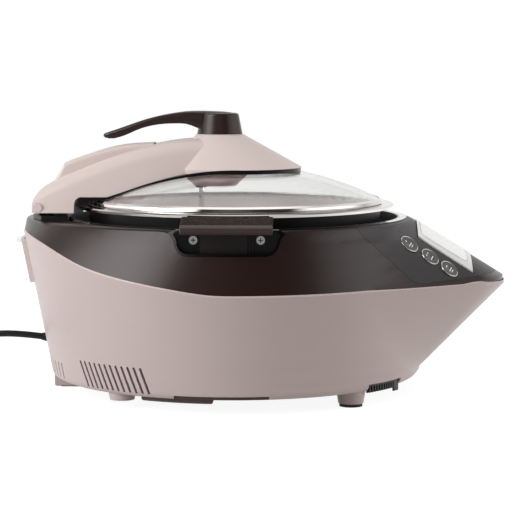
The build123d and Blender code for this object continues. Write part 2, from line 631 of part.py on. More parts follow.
def hat(inset=0.0):
    """Conical front of the arm over the middle of the glass."""
    foot = Pos(0, 0, HAT_Z - 8) * Circle(HAT_R - inset)
    rim = Pos(0, 0, HAT_Z) * Circle(HAT_R - inset * 1.5)
    seat = Pos(HANDLE_X, 0, SEAT_Z - inset) * Circle(SEAT_R + 0.4 - inset * 0.5)
    return loft([foot, rim, seat], ruled=True)


def edge_band(drop):
    """Everything below the lower edge of the arm, lowered by drop."""
    points = [(x, z - drop) for x, z in ARM_EDGE]
    curve = Spline([(x, z) for x, z in points[1:]])
    start = Line((NOSE_END, points[0][1]), points[1])
    notch = Polyline(points[-1], (ARM_NOTCH_X, points[-1][1]), (ARM_NOTCH_X, ARM_SOLE_Z - drop),
                     (-260, ARM_SOLE_Z - drop), (-260, 100), (NOSE_END, 100), (NOSE_END, points[0][1]))
    face = make_face(Curve() + [start, curve, notch])
    corner = face.vertices().sort_by_distance((ARM_NOTCH_X, points[-1][1]))[0]
    face = fillet(corner, NOTCH_R)
    return extrude(Plane.XZ * face, 100, both=True)


glass_clear = Pos(0, 0, CAP_C) * Sphere(CAP_R + 0.3)
arm_outer = (arm_body() + hat()) - edge_band(0.0)
arm_shell = arm_outer - arm_body(ARM_WALL) - hat(ARM_WALL)
arm_shell = arm_shell - disc(SHAFT_R + PIN_GAP, SEAT_Z - 10, SEAT_Z + 10, HANDLE_X)
pin_hole = Pos(HINGE_X, 0, HINGE_Z) * Rot(90, 0, 0) * Cylinder(PIN_R, 200)
for side in (-1, 1):
    ear_room = Pos(HINGE_X, side * EAR_Y, HINGE_Z) * Rot(90, 0, 0) * Cylinder(9.5, EAR_T + 0.7)
    cap_room = Pos(HINGE_X, side * (PIN_END + 10), HINGE_Z) * Rot(90, 0, 0) * Cylinder(CAP_HEAD_R + 0.1, 20)
    arm_shell = arm_shell - ear_room - cap_room
spring_room = Pos(HINGE_X, 0, HINGE_Z) * Rot(90, 0, 0) * Cylinder(PIN_R + 2.3, 2 * (EAR_Y - EAR_T / 2))
arm_shell = arm_shell - glass_clear - spring_room
arm_shell = arm_shell.solids().sort_by(SortBy.VOLUME)[-1]


def hump_form(inset=0.0):
    """Raised cover along the back of the arm."""
    first, last = HUMP_TABLE[0][0], HUMP_TABLE[-1][0]
    faces = []
    for i in range(HUMP_STEPS + 1):
        x = first + (last - first) * i / HUMP_STEPS
        top, a = between(HUMP_TABLE, x)
        flat = a - inset * 0.5
        faces.append(shoulder_section(x + inset, top - inset, flat, a + 4 - inset, 196.0 - inset, 5.0))
    return loft(faces, ruled=True)


hump = hump_form() - arm_body() - hat()
hump = hump - hump_form(HUMP_WALL)
hump = hump.solids().sort_by(SortBy.VOLUME)[-1]
save("arm_shell", arm_shell)
save("arm_spine_cover", hump)

glass_out = Pos(0, 0, CAP_C) * Sphere(CAP_R + 0.05)


def trim_form(inset):
    """Plan block of the arm, used for the dark trim under its edge."""
    half = ARM_HALF - 2.2 - inset
    corners = ((ARM_NOTCH_X, -half), (0, 4 - half), (0, half - 4), (ARM_NOTCH_X, half))
    face = make_face(Polyline(*corners, close=True))
    block = Pos(0, 0, ARM_BASE_Z) * extrude(face, 60)
    return block + disc(HAT_R - 0.4 - inset, ARM_BASE_Z, HAT_Z + 8)


trim = trim_form(1.0) & (edge_band(0.05) - edge_band(TRIM_H))
trim = trim - trim_form(9.0) - glass_out - brick(-260, ARM_NOTCH_X + 4, -80, 80, 150, 260)
trim = trim - disc(RING_OUT_R + 0.1, RING_Z - 4, LID_RIM_Z + 1.2)
trim = trim.solids().sort_by(SortBy.VOLUME)[-1]
save("arm_trim", trim)

# Frame inside the arm from the hinge pin to the glass, with its clamp boss below the glass
frame = side_plate(FRAME_LOW + FRAME_HIGH, FRAME_HALF)
hollow = side_plate(FRAME_HOLLOW, FRAME_HALF - 3.0)
frame = frame - hollow
frame = frame - pin_hole - disc(8.8, 226.0, 236.5, HANDLE_X) - arm_shell
frame = frame.solids().sort_by(SortBy.VOLUME)[-1]
save("lid_frame", frame)

boss = Pos(BOSS_X, 0, (BOSS_LOW + BOSS_STEP) / 2) * Cone(20.5, 34.2, BOSS_STEP - BOSS_LOW)
boss = boss + disc(22.0, BOSS_STEP, BOSS_TOP, HANDLE_X) + disc(8.7, BOSS_TOP, 236.0, HANDLE_X)
boss = boss - disc(SHAFT_R + 0.4, 225.0, 237.0, HANDLE_X)
boss = boss - disc(5.6, 198.0, 203.9, PROBE_X) - disc(PROBE_R, 203.9, 212.0, PROBE_X)
save("glass_clamp_boss", boss)
nozzle = disc(5.6, 199.4, 203.9, PROBE_X) - disc(PROBE_R, 198.0, 205.0, PROBE_X)
save("probe_socket", nozzle)
probe = disc(PROBE_R, PROBE_TIP_Z, 212.0, PROBE_X)
probe = fillet(probe.edges().sort_by(Axis.Z)[0], PROBE_R * 0.8)
save("food_probe", probe)

# Turning handle on the hub, with its shaft and locking cam inside the arm
hub_z = SEAT_Z + HANDLE_LIFT
hub = Pos(HANDLE_X, 0, hub_z + HUB_H / 2) * Cone(SEAT_R, HUB_TOP_R, HUB_H)
hub = fillet(hub.edges().sort_by(Axis.Z)[-1], 3.0)


def lever_form():
    """Curved lever of rounded cross section, running back from the hub."""
    first, last = LEVER_TABLE[0][0], LEVER_TABLE[-1][0]
    xs = [first, first + 1.2] + [first + (last - first) * i / LEVER_STEPS for i in range(1, LEVER_STEPS + 1)]
    faces = []
    for x in xs:
        low, high, half = between(LEVER_TABLE, x)
        at = Plane(origin=(x, 0, (low + high) / 2), x_dir=(0, 1, 0), z_dir=(1, 0, 0))
        faces.append(at * RectangleRounded(2 * half, high - low, min(high - low, 2 * half) * 0.42))
    return loft(faces, ruled=True)


lever = lever_form()
handle = hub + lever
save("lid_handle", handle)
shaft = disc(SHAFT_R, 240.5, hub_z, HANDLE_X)
cam = disc(12.0, 241.5, 245.5, HANDLE_X) + brick(HANDLE_X, HANDLE_X + 18, -5, 5, 241.5, 245.5)
save("handle_shaft", shaft + cam)

# Hinge: pin through the arm, bracket on the deck, torsion spring and side caps
pin = Pos(HINGE_X, 0, HINGE_Z) * Rot(90, 0, 0) * Cylinder(PIN_R, 2 * PIN_END)
save("hinge_pin", pin)
caps = []
for side in (-1, 1):
    head = Rot(90, 0, 0) * Cylinder(CAP_HEAD_R, 7.7)
    caps.append(Pos(HINGE_X, side * (PIN_END + 3.9), HINGE_Z) * head)
save("hinge_caps", *caps)
bracket = brick(*BRACKET_X, -BRACKET_HALF, BRACKET_HALF, DECK_Z, DECK_Z + BRACKET_H)
cheek = ring(BEZEL_OUT_R + 5.0, BEZEL_OUT_R + 0.3, DECK_Z, DECK_Z + CHEEK_H)
for side in (-1, 1):
    near, far = sorted((side * 38, side * (BRACKET_HALF - 2)))
    bracket = bracket + (cheek & brick(*BRACKET_X, near, far, DECK_Z, HINGE_Z + 9))
deck_rear = [(0.0, DECK_TAIL), *[(angle, high) for angle, high, low in REAR_TABLE]]
bracket = bracket & extrude(egg(DECK_Z, DECK_R, DECK_NOSE, deck_rear, inset=3.0), CHEEK_H + 1, dir=(0, 0, 1))
ears = []
for side in (-1, 1):
    low, high = side * EAR_Y - EAR_T / 2, side * EAR_Y + EAR_T / 2
    ear = brick(HINGE_X - 3.2, HINGE_X + 3.2, low, high, DECK_Z + 2.2, HINGE_Z)
    round_end = Pos(HINGE_X, side * EAR_Y, HINGE_Z) * Rot(90, 0, 0) * Cylinder(6.2, EAR_T)
    ears.append(ear + round_end)
bracket = bracket + ears
bracket = bracket - Pos(HINGE_X, 0, HINGE_Z) * Rot(90, 0, 0) * Cylinder(PIN_R + PIN_GAP, 120)
bracket = bracket - disc(BEZEL_OUT_R + 0.3, DECK_Z - 1, DECK_Z + 10)
save("hinge_bracket", bracket)

# Base plate, cable cover, feet, stub bosses and front air grille
base = disc(PLATE_R, SKIRT_Z, SKIRT_Z + PLATE_H)
slits = []
for y in range(-24, 25, 6):
    slits.append(brick(FAN_X - 24, FAN_X + 24, y - 1.4, y + 1.4, SKIRT_Z - 1, SKIRT_Z + PLATE_H + 1))
board_low = SKIRT_Z + PLATE_H + 6
posts = [disc(3.0, SKIRT_Z + PLATE_H, board_low, x, y) for x in (-155, -111) for y in (-43, 43)]
save("base_plate", base - slits + posts)
cover = brick(-81.0, -13.0, -172.0, 172.0, SKIRT_Z - 5, SKIRT_Z) & disc(PLATE_R - 6, 0, 30)
cover = chamfer(cover.edges().group_by(Axis.Z)[0], 1.5)
save("base_cover", cover)


def foot_at(x, y, top_r, tip_r, top_z, low_z):
    return Pos(x, y, (top_z + low_z) / 2) * Cone(tip_r, top_r, top_z - low_z)


front_foot = (FOOT_RING_R * math.cos(math.radians(45.5)), FOOT_RING_R * math.sin(math.radians(45.5)))
feet = []
for side in (-1, 1):
    feet.append(foot_at(front_foot[0], side * front_foot[1], FOOT_R, FOOT_TIP_R + 1, SKIRT_Z, PAD_H))
save("front_feet", *feet)
rear_foot = brick(-182.0, -146.0, -19.0, 19.0, REAR_PAD_H, SKIRT_Z) & disc(BASE_R - 1.0, 0, 30)
save("rear_foot", chamfer(rear_foot.edges().group_by(Axis.Z)[0], 1.2))
pads = [disc(FOOT_TIP_R, 0, PAD_H, front_foot[0], side * front_foot[1]) for side in (-1, 1)]
pads.append(brick(-174.0, -152.0, -14.0, 14.0, 0, REAR_PAD_H))
save("foot_pads", *pads)
stubs = []
for side in (-1, 1):
    stub = foot_at(-101.0, side * 131.0, 13.0, 11.8, SKIRT_Z, 7.8)
    stubs.append(stub - disc(5.0, 6.0, 13.0, -101.0, side * 131.0))
save("screw_towers", *stubs)



def sector(outer, inner, low, high, start, stop):
    """Ring segment between two angles."""
    wedge = make_face(Polyline((0, 0), *[(260 * math.cos(math.radians(a)), 260 * math.sin(math.radians(a)))
                                         for a in (start, (start + stop) / 2, stop)], close=True))
    return ring(outer, inner, low, high) & (Pos(0, 0, low - 1) * extrude(wedge, high - low + 2))


grille_parts = []
for side in (1, -1):
    start, stop = sorted((side * GRILLE_FROM, side * GRILLE_TO))
    grille = sector(BASE_R - 0.9, BASE_R - 2.9, SKIRT_Z - 1.5, SKIRT_Z + 6.6, start + 0.2, stop - 0.2)
    block_from, block_to = sorted((side * (GRILLE_FROM + 0.2), side * (GRILLE_FROM + GRILLE_BLOCK)))
    grille = grille + sector(BASE_R - 0.9, BASE_R - 2.9, SKIRT_Z - 5.0, SKIRT_Z + 6.6, block_from, block_to)
    teeth = []
    toothed = GRILLE_TO - GRILLE_FROM - GRILLE_BLOCK
    for i in range(GRILLE_TEETH):
        a = side * (GRILLE_FROM + GRILLE_BLOCK + (i + 0.5) * toothed / GRILLE_TEETH)
        teeth.append(Rot(0, 0, a) * brick(BASE_R - 6, BASE_R + 2, -1.1, 1.1, SKIRT_Z - 2, SKIRT_Z + 4.6))
    grille_parts.append((grille - teeth).solids().sort_by(SortBy.VOLUME)[-1])
    housing = housing - sector(BASE_R + 6, BASE_R - 8, SKIRT_Z - 2, SKIRT_Z + 6.8, start, stop)
save("front_grilles", *grille_parts)

# Condensate collector in the tail, with its clear peg
cup_skin = lower_form(-4.5, SKIRT_Z - 2, rounded=False)
cup = cup_skin & brick(-CUP_OUT, CUP_IN, -CUP_HALF, CUP_HALF, CUP_LOW, CUP_HIGH)
cup = cup - brick(-202.0, -189.0, -CUP_HALF + 2.5, CUP_HALF - 2.5, 110.5, 160)
cup = cup - (brick(-208.0, -189.0, -CUP_HALF + 2.5, CUP_HALF - 2.5, 130.0, 160) & lower_form(-2.0, 100, rounded=False))
peg = Pos((-CUP_OUT - 207.6) / 2, 0, 147.0) * Rot(0, 90, 0) * Cylinder(2.8, CUP_OUT - 207.6)
save("condensate_collector", cup - peg)
housing = housing - cup_room

# Cooling fan over the intake slits
fan_frame = brick(FAN_X - 30, FAN_X + 30, -30, 30, FAN_Z - 4, FAN_Z + 11)
fan_frame = fan_frame - disc(28.0, FAN_Z - 5, FAN_Z + 12, FAN_X)
struts = [Pos(FAN_X, 0, FAN_Z - 3) * Rot(0, 0, a) * Box(57, 3, 2) for a in (0, 60, 120)]
fan_frame = fan_frame + struts + disc(12.0, FAN_Z - 4, FAN_Z - 2, FAN_X)
fan_frame = fan_frame + disc(1.5, FAN_Z - 3, FAN_Z + 6, FAN_X)
save("fan_frame", fan_frame)
rotor = disc(12.0, FAN_Z - 1.4, FAN_Z + 9, FAN_X)
blades = []
for i in range(7):
    blade = Pos(19.0, 0, 0) * Rot(38, 0, 0) * Box(15.5, 13, 1.2)
    blades.append(Pos(FAN_X, 0, FAN_Z + 4) * Rot(0, 0, i * 360 / 7) * blade)
rotor = rotor + blades - disc(1.5 + 0.06, FAN_Z - 3, FAN_Z + 7, FAN_X)
save("fan_rotor", rotor)

# Electronics
power = brick(-160.0, -106.0, -48.0, 48.0, board_low, board_low + 1.6)
save("power_board", power)
top_z = board_low + 1.6
parts = [brick(-156, -130, -36, -8, top_z, top_z + 15), disc(6.5, top_z, top_z + 16, -118, -28),
         disc(6.5, top_z, top_z + 16, -118, -8), brick(-152, -134, 4, 20, top_z, top_z + 13),
         brick(-126, -110, 8, 34, top_z, top_z + 9), brick(-154, -138, 26, 40, top_z, top_z + 10)]
save("power_components", *parts)

slope_plane = Plane(origin=(206.0, 0, 150.8), x_dir=(slope_n[1], 0, -slope_n[0]),
                    z_dir=(slope_n[0], 0, slope_n[1]))
save("display_module", slope_plane * (Pos(0, 0, -13.4) * Box(38, 80, 6)))
save("control_board", slope_plane * (Pos(0, 0, -17.3) * Box(52, 90, 1.6)))
button_boards = []
for side in (-1, 1):
    middle = tilt_frame(BUTTON_SPOTS[1], side)
    board = middle * (Pos(0, 0, -15.0) * Box(66, 17, 1.6))
    board = board + middle * (Pos(0, -side * 12.0, -15.0) * Box(32, 13, 1.6))
    posts = [middle * (Pos(x, -side * 14.5, -8.0) * Cylinder(2.2, 13.0)) for x in (-12.0, 11.0)]
    switches = []
    for spot in BUTTON_SPOTS:
        reach = -BUTTON_DEEP - BUTTON_TRAVEL - 0.25
        post = Pos(0, 0, (reach - SWITCH_FOOT) / 2) * Cylinder(3.2, reach + SWITCH_FOOT)
        switches.append(tilt_frame(spot, side) * post)
    trimmed = [(post - collar - panel).solids().sort_by(SortBy.VOLUME)[-1] for post in posts]
    button_boards.append(board + switches + trimmed)
save("button_boards", *button_boards)

# Mains lead: strain relief, tube down to the floor, coil of the length not shown, and plug
relief = cord_axis * Pos(0, 0, 3.5) * Cone(CORD_R + 1.7, CORD_R + 0.5, 11)
relief = relief + cord_axis * Pos(0, 0, -3.0) * Cylinder(CORD_R + 1.7, 2.2)
relief = relief + cord_axis * Pos(0, 0, -5.4) * Cylinder(CORD_R + 4.6, 3.0)
def bent_tube(points, r):
    """Round cable along straight runs joined by arcs as large as the runs allow."""
    radii = []
    for a, b, c in zip(points, points[1:], points[2:]):
        u, v = Vector(*b) - Vector(*a), Vector(*c) - Vector(*b)
        half_turn = math.radians(u.get_angle(v)) / 2
        radii.append(0.45 * min(u.length, v.length) / math.tan(half_turn))
    print("cord bend radii", [round(bend, 1) for bend in radii])
    path = FilletPolyline(*points, radius=radii)
    start = Vector(*points[1]) - Vector(*points[0])
    profile = Plane(origin=points[0], z_dir=start) * Circle(r)
    tube = sweep(profile, path=path)
    full = math.pi * r * r * path.length
    print("cord length", round(path.length, 1), "share of the full volume", round(tube.volume / full, 4))
    return tube


coil = ring(COIL_R, COIL_MID_R - CORD_R * 2 - 0.6, FLOOR_GAP, 4 * CORD_R + FLOOR_GAP)
coil = Pos(COIL_X, COIL_Y, 0) * fillet(coil.edges(), 2.0)
tube = bent_tube(CORD_POINTS, CORD_R) - coil
tube = tube.solids().sort_by(SortBy.VOLUME)[-1]
save("cord_tube", tube)
save("strain_relief", relief - tube)
tail_x = COIL_X - COIL_R + CORD_R + 0.1
tail = Pos(tail_x, COIL_Y - 34, LIE_Z) * Rot(90, 0, 0) * Cylinder(CORD_R, 32)
save("cord_coil", coil + tail)
plug_y = COIL_Y - 50
plug_z = 13.0
thin = Plane(origin=(tail_x, plug_y, CORD_R + 0.9), z_dir=(0, -1, 0)) * Circle(CORD_R + 0.8)
thick = Plane(origin=(tail_x, plug_y - 18, 9.0), z_dir=(0, -1, 0)) * Circle(6.5)
plug_body = Pos(tail_x, plug_y - 32, plug_z) * Box(34, 30, 2 * plug_z - 2 * FLOOR_GAP)
save("mains_plug", fillet(plug_body.edges().filter_by(Axis.Y), 9.0) + loft([thin, thick], ruled=True))
pins = [Pos(tail_x + x, plug_y - 47 - 9.5, plug_z) * Rot(90, 0, 0) * Cylinder(2.4, 18.98) for x in (-9.5, 9.5)]
save("plug_pins", *pins)

# Torsion spring round the hinge pin, drawn as four of its turns
turns = [Pos(HINGE_X, y, HINGE_Z) * Rot(90, 0, 0) * Torus(PIN_R + 1.15, 0.75) for y in (-22.8, -21.2, 21.2, 22.8)]
save("hinge_spring", *turns)
save("lower_housing", housing)
save("collector_peg", peg)
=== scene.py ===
import json
import math

import bpy
from mathutils import Matrix, Vector
from mathutils.bvhtree import BVHTree


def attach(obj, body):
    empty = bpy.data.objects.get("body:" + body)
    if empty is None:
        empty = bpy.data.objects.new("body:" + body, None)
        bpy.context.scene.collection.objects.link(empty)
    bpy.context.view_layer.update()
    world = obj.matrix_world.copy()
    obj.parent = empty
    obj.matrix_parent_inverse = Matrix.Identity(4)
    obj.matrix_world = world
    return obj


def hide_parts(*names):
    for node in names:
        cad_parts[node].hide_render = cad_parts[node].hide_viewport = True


# A multicooker dressed around its CAD frame, in metres: +X to the controls, camera on the -Y side
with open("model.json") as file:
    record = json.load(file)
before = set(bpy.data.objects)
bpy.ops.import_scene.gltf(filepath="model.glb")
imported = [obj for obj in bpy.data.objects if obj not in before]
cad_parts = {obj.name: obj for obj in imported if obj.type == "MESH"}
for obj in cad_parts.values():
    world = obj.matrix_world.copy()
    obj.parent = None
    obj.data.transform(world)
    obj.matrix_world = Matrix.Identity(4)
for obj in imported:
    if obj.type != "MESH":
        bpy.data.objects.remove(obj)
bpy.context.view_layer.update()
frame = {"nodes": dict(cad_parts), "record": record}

MM = 0.001
SHIFT_X = -24.5


def at(x, y, z):
    """Point in metres from millimetres measured from the pot's axis."""
    return ((x + SHIFT_X) * MM, y * MM, z * MM)


# Camera: place in millimetres from the pot's axis, angles in degrees
CAMERA_PLACE = (88.26, -1993.64, 329.16)
CAMERA_DOWN = 5.75
CAMERA_TURN = 1.86
LENS = 139.3
SENSOR_WIDTH = 36.0
CLIP_END = 50.0
camera_data = bpy.data.cameras.new("camera")
camera_data.lens = LENS
camera_data.sensor_width = SENSOR_WIDTH
camera_data.clip_end = CLIP_END
camera = bpy.data.objects.new("camera", camera_data)
camera.location = at(*CAMERA_PLACE)
camera.rotation_euler = (math.radians(90 - CAMERA_DOWN), 0, math.radians(CAMERA_TURN))
bpy.context.collection.objects.link(camera)
bpy.context.scene.camera = camera


# Materials: the grain's depth is in metres, the ends of the speckle's ramp are shares of the noise
GRAIN_DETAIL = 3.0
GRAIN_DEPTH = 0.0004
SPECKLE_FROM = 0.4
SPECKLE_TO = 0.62


def linear(rgb):
    """Linear colour from 8-bit sRGB."""
    out = []
    for v in rgb:
        v /= 255
        out.append(v / 12.92 if v <= 0.04045 else ((v + 0.055) / 1.055) ** 2.4)
    return (*out, 1.0)


def finish_of(name, rgb, rough, metal=0.0, coat=0.0, coat_rough=0.05, spec=0.5, grain=None, bump=0.0,
              transmission=0.0, ior=1.5, speckle=None):
    """Material; grain is the size in millimetres of its noise, if any, speckle a second colour."""
    mat = bpy.data.materials.new(name)
    mat.use_nodes = True
    nodes, links = mat.node_tree.nodes, mat.node_tree.links
    shader = nodes["Principled BSDF"]
    shader.inputs["Base Color"].default_value = linear(rgb)
    shader.inputs["Roughness"].default_value = rough
    shader.inputs["Metallic"].default_value = metal
    shader.inputs["Coat Weight"].default_value = coat
    shader.inputs["Coat Roughness"].default_value = coat_rough
    shader.inputs["Specular IOR Level"].default_value = spec
    shader.inputs["Transmission Weight"].default_value = transmission
    shader.inputs["IOR"].default_value = ior
    if grain:
        where = nodes.new("ShaderNodeTexCoord")
        noise = nodes.new("ShaderNodeTexNoise")
        noise.inputs["Scale"].default_value = 1000 / grain
        noise.inputs["Detail"].default_value = GRAIN_DETAIL
        rise = nodes.new("ShaderNodeBump")
        rise.inputs["Strength"].default_value = bump
        rise.inputs["Distance"].default_value = GRAIN_DEPTH
        links.new(where.outputs["Object"], noise.inputs["Vector"])
        links.new(noise.outputs["Fac"], rise.inputs["Height"])
        links.new(rise.outputs["Normal"], shader.inputs["Normal"])
        if speckle:
            spots = nodes.new("ShaderNodeValToRGB")
            ends = ((SPECKLE_FROM, rgb), (SPECKLE_TO, speckle))
            for stop, (position, colour) in zip(spots.color_ramp.elements, ends):
                stop.position = position
                stop.color = linear(colour)
            links.new(noise.outputs["Fac"], spots.inputs["Fac"])
            links.new(spots.outputs["Color"], shader.inputs["Base Color"])
    return mat


beige = finish_of("housing_beige", (186, 169, 164), 0.42, coat=0.12, coat_rough=0.3, grain=1.2, bump=0.05)
arm_beige = finish_of("arm_beige", (203, 187, 181), 0.42, coat=0.12, coat_rough=0.3, grain=1.2, bump=0.05)
collar_brown = finish_of("collar_brown", (36, 22, 20), 0.32, coat=0.3, coat_rough=0.22, spec=0.3)
handle_brown = finish_of("handle_brown", (40, 28, 26), 0.3, coat=0.15, coat_rough=0.15, spec=0.3)
panel_grey = finish_of("panel_grey", (56, 52, 53), 0.4, coat=0.1, coat_rough=0.2, spec=0.2)
display_silver = finish_of("display_silver", (226, 224, 223), 0.3, metal=0.2, coat=0.6, coat_rough=0.1)
display_edge = finish_of("display_edge", (196, 194, 192), 0.35, metal=0.3)
display_pale = finish_of("display_pale", (244, 243, 242), 0.2, coat=0.8, coat_rough=0.06)
button_silver = finish_of("button_silver", (112, 108, 108), 0.3, metal=0.8)
mark_white = finish_of("mark_white", (232, 231, 230), 0.4)
black_gloss = finish_of("black_gloss", (10, 6, 6), 0.25, coat=0.1, coat_rough=0.1, spec=0.25)
black_soft = finish_of("black_soft", (34, 27, 26), 0.35, spec=0.3)
black_grain = finish_of("black_grain", (7, 4, 4), 0.65, spec=0.06, grain=1.8, bump=0.9, speckle=(60, 47, 43))
black_bead = finish_of("black_bead", (58, 46, 43), 0.4, spec=0.3, grain=1.0, bump=0.1)
black_plain = finish_of("black_plain", (18, 15, 15), 0.4)
steel = finish_of("steel", (190, 189, 188), 0.3, metal=1.0, grain=0.6, bump=0.05)
bright_steel = finish_of("bright_steel", (226, 222, 220), 0.06, metal=1.0)
pan_inside = finish_of("pan_inside", (240, 230, 228), 0.34, metal=0.15, coat=0.1, coat_rough=0.3)
pan_outside = finish_of("pan_outside", (12, 9, 9), 0.4, spec=0.25)
cast = finish_of("cast_aluminium", (186, 185, 184), 0.4, metal=0.9, grain=1.4, bump=0.1)
glass = finish_of("lid_glass", (252, 253, 252), 0.0, transmission=1.0, ior=1.4)
clear = finish_of("clear_plastic", (238, 240, 240), 0.05, transmission=0.9, ior=1.45)
silicone = finish_of("silicone", (250, 249, 248), 0.15, transmission=0.85, ior=1.4)
foot_black = finish_of("foot_black", (24, 22, 22), 0.75)
cord_black = finish_of("cord_black", (14, 13, 13), 0.5, spec=0.3)
mauve = finish_of("boss_mauve", (214, 196, 195), 0.42)
board = finish_of("board_green", (52, 104, 62), 0.4)
base_brown = finish_of("base_brown", (70, 54, 52), 0.5)

# Material of each slot, then of the nodes that differ from their slot
LOOKS = {
    "housing_beige": beige, "arm_beige": arm_beige, "collar_brown": collar_brown,
    "handle_brown": handle_brown, "panel_grey": panel_grey, "display_silver": display_silver,
    "button_silver": button_silver, "black_plastic": black_plain, "steel": steel,
    "bright_steel": bright_steel, "pan_coating": pan_inside, "aluminium": cast, "glass": glass,
    "clear_plastic": clear, "seal_rubber": silicone, "foot_rubber": foot_black,
    "cord_black": cord_black, "boss_mauve": mauve, "board_green": board, "base_brown": base_brown,
}
SPECIAL = {
    "pan_handle_near": black_grain, "pan_handle_far": black_grain,
    "handle_recess_near": black_gloss, "handle_recess_far": black_gloss,
    "arm_trim": black_gloss, "bezel_ring": bright_steel,
}

# Every node is welded and shaded smooth, with sharp edges kept
SHARP = math.radians(32)
WELD_GAP = 0.000004
AREA_WEIGHT = 80


def smooth(thing):
    """Shade a mesh smooth: welded, split at its sharp edges, its normals weighed by area."""
    mesh = thing.data
    for name in ("custom_normal", "sharp_edge", "sharp_face"):
        if name in mesh.attributes:
            mesh.attributes.remove(mesh.attributes[name])
    mesh.polygons.foreach_set("use_smooth", [True] * len(mesh.polygons))
    weld = thing.modifiers.new("weld", "WELD")
    weld.merge_threshold = WELD_GAP
    split = thing.modifiers.new("split", "EDGE_SPLIT")
    split.split_angle = SHARP
    weigh = thing.modifiers.new("weigh", "WEIGHTED_NORMAL")
    weigh.weight = AREA_WEIGHT


for part in frame["record"]["subparts"]:
    node = frame["nodes"][part["node"]]
    node.data.materials.clear()
    node.data.materials.append(SPECIAL.get(part["node"], LOOKS[part["material_slot"]]))
    smooth(node)


def second_finish(node_name, mat, test):
    """Give the faces whose centre, in millimetres from the pot's axis, passes a test another material."""
    mesh = frame["nodes"][node_name].data
    index = len(mesh.materials)
    mesh.materials.append(mat)
    for face in mesh.polygons:
        c = face.center
        if test(c.x / MM - SHIFT_X, c.y / MM, c.z / MM):
            face.material_index = index


# Inner pan: pale inside, bright flange, dark outer wall that leans in downwards
PAN_R = 143.6
FLANGE_LOW = 180.6
FLANGE_TOP = 182
FLANGE_INSET = 0.4
WALL_INSET = 0.2
WALL_LEAN = 0.03


def on_flange(x, y, z):
    """Flange of the inner pan."""
    return math.hypot(x, y) > PAN_R + FLANGE_INSET and z > FLANGE_LOW


def on_outer_wall(x, y, z):
    """Outer wall of the inner pan, below the flange."""
    return math.hypot(x, y) > PAN_R + WALL_INSET - (FLANGE_TOP - z) * WALL_LEAN and z <= FLANGE_LOW


second_finish("inner_pan", bright_steel, on_flange)
second_finish("inner_pan", pan_outside, on_outer_wall)

# Handle recesses: a raised panel a little lighter than the rest, and screws with bright heads, dark washers
# and crosses painted dark as painted shade in their slots
RECESS_R = 166.4
PANEL_RISE = 2.8
PANEL_X = (-25.5, 24)
PANEL_Z = (150.5, 169.6)
SCREW_X = 31.0
SCREW_Z = 162.0
HEAD_R = 4.0
WASHER_T = 1.1
CROSS_R = 3.3
CROSS_TOP = 2.7


def on_panel(x, y, z):
    """Face of the raised panel of a handle recess."""
    raised = math.hypot(x, y) > RECESS_R + PANEL_RISE
    return raised and PANEL_X[0] < x < PANEL_X[1] and PANEL_Z[0] < z < PANEL_Z[1]


def washer_or_painted_shade_cross(x, y, z):
    """Washer face, or inside of the cross of a recess screw; the cross is painted dark as painted shade."""
    from_axis = math.hypot(abs(x) - SCREW_X, z - SCREW_Z)
    depth = abs(y) - RECESS_R
    return from_axis > HEAD_R or depth < WASHER_T or (from_axis < CROSS_R and depth < CROSS_TOP)


# The screws' cross slots are painted dark: painted shade
second_finish("recess_screws", black_plain, washer_or_painted_shade_cross)
for recess in ("handle_recess_near", "handle_recess_far"):
    second_finish(recess, black_soft, on_panel)

# Bezel with its outer wall painted dark as painted shade, pan grips with a lighter bead along their outer
# edge
BEZEL_OUT_R = 171.0
BEZEL_SKIN = 0.1
BEAD_Y = 185.5
# The bezel's outer wall is painted dark: painted shade on polished steel
second_finish("bezel_ring", black_gloss, lambda x, y, z: math.hypot(x, y) > BEZEL_OUT_R - BEZEL_SKIN)
for grip in ("pan_handle_near", "pan_handle_far"):
    second_finish(grip, black_bead, lambda x, y, z: abs(y) > BEAD_Y)


def piece(name, points, faces, body, mat, soft=True):
    """Mesh from points in metres that rides a body."""
    mesh = bpy.data.meshes.new(name)
    mesh.from_pydata(points, [], faces)
    mesh.update()
    if soft:
        mesh.polygons.foreach_set("use_smooth", [True] * len(mesh.polygons))
    thing = bpy.data.objects.new(name, mesh)
    bpy.context.collection.objects.link(thing)
    mesh.materials.append(mat)
    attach(thing, body)


# Mains lead: the route's points, then the turns of the coil as more points of the same spline
CORD_D = 6.6
CORD_ROUND = 6
CORD_SMOOTH = 12
CORD_ROUTE = [(-186.0, 0.0, 47.6), (-232.0, 0.0, 53.9), (-262.0, 2.5, 45.5), (-288.0, 6.5, 26.5),
              (-316.0, 10.0, 9.5), (-350.0, 12.0, 3.5), (-384.0, 12.3, 3.5)]
COIL_CENTRE = (-392.0, -29.5)
COIL_START = math.radians(90)
COIL_STEPS = 12
COIL_TURNS = 3.25
# The spline runs inside its control points, so the turns are widened to hold their radius
TURN_WIDEN = 1.034
# Turns so far, radius and height
LAYERS = [(0.0, 41.4, 3.5), (0.75, 41.6, 3.5), (1.0, 34.7, 3.5), (1.75, 34.5, 3.5), (2.0, 34.6, 10.2),
          (2.72, 34.9, 10.1), (3.0, 41.0, 10.1), (3.25, 41.6, 9.6)]


def layer(t):
    """Radius and height of the coil's centreline after t turns."""
    for (t0, r0, z0), (t1, r1, z1) in zip(LAYERS, LAYERS[1:]):
        if t <= t1:
            k = (t - t0) / (t1 - t0)
            return r0 + (r1 - r0) * k, z0 + (z1 - z0) * k
    return LAYERS[-1][1:]


